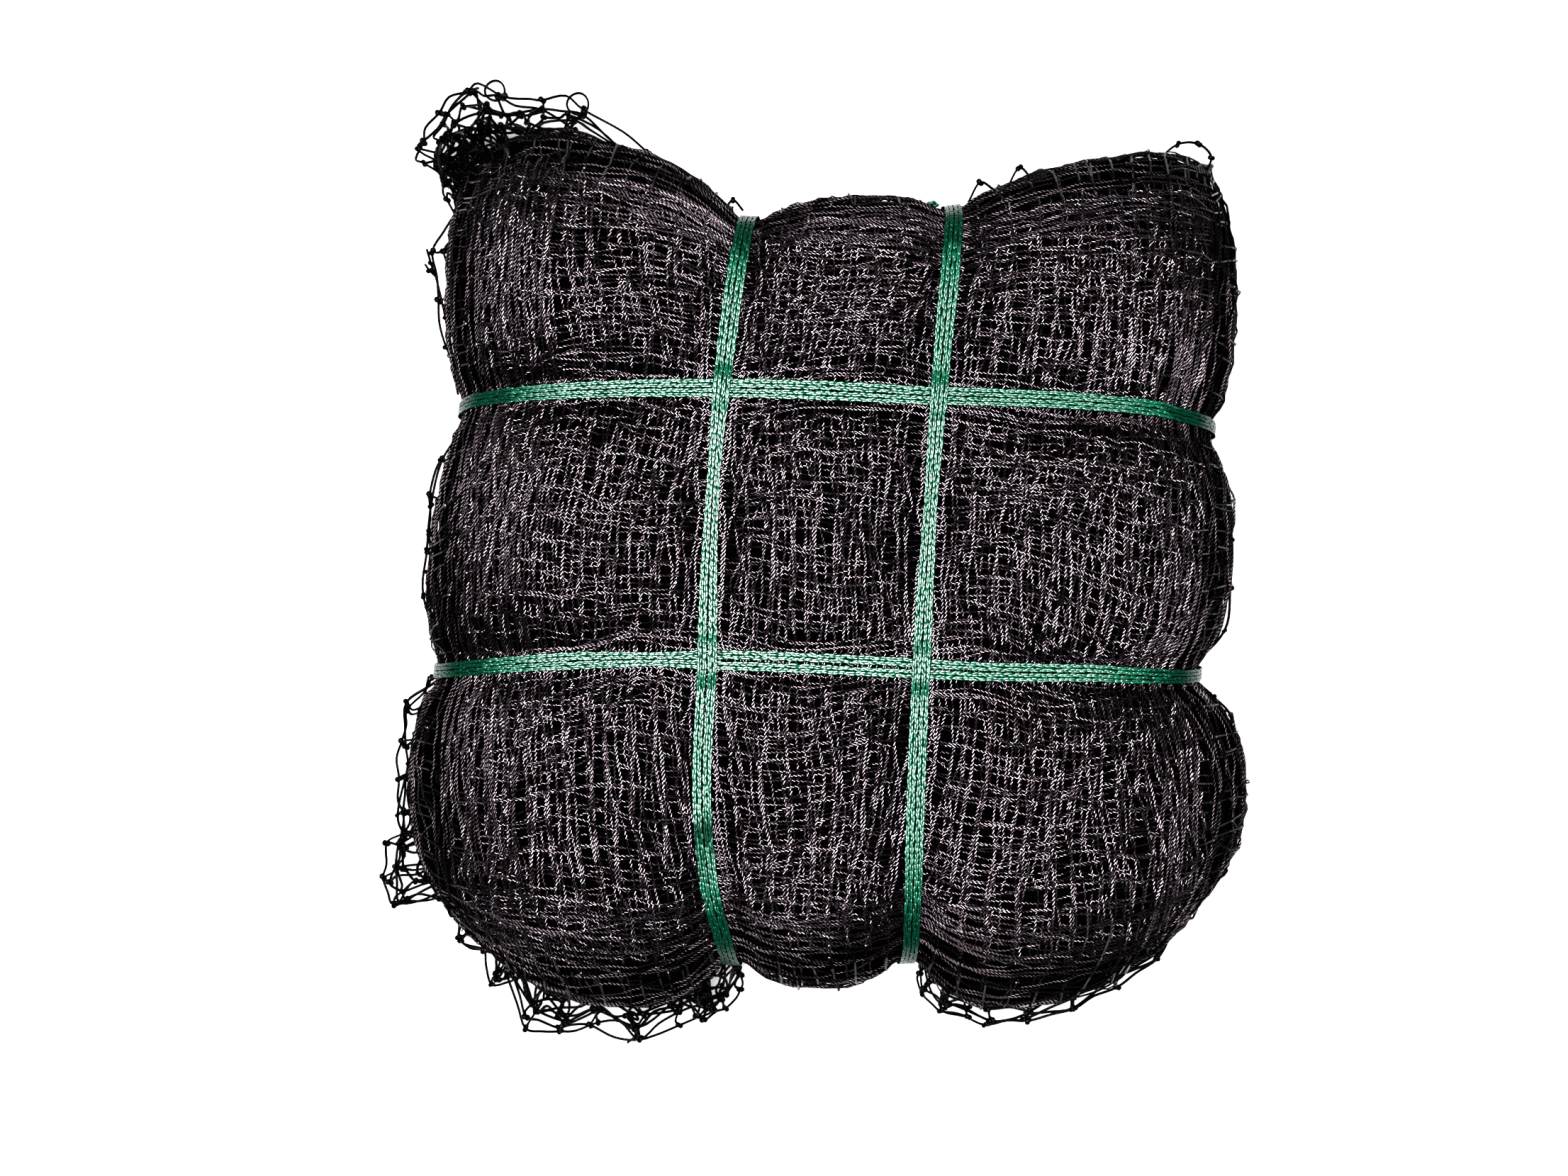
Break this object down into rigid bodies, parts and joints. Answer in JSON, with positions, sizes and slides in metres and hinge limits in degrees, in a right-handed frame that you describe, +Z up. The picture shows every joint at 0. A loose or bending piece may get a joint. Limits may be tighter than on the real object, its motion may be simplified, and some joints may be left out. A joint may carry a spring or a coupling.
{
  "type": "folded cat safety net",
  "caption": "Black knotted safety net for keeping cats in, folded back and forth into a flat bale and bound by green knitted cord ties, with loose meshes at its edges.",
  "frame": {"origin": "middle of the bale's bounding box, on the surface it lies on", "axes": "+Z up, away from the surface; +X across the bale, from its left to its right in the picture; +Y along it, towards the picture's top"},
  "size_m": [0.523, 0.5797, 0.136],
  "materials": {
    "net_twine": "twisted black twine, slightly glossy",
    "tie_cord": "flat knitted green cord"
  },
  "bodies": {
    "root": {"net": "net_twine", "tie_left_a": "tie_cord", "tie_left_b": "tie_cord", "tie_right_a": "tie_cord", "tie_right_b": "tie_cord", "tie_lower_a": "tie_cord", "tie_lower_b": "tie_cord", "tie_upper_a": "tie_cord", "tie_upper_b": "tie_cord", "knot": "tie_cord"}
  },
  "joints": []
}
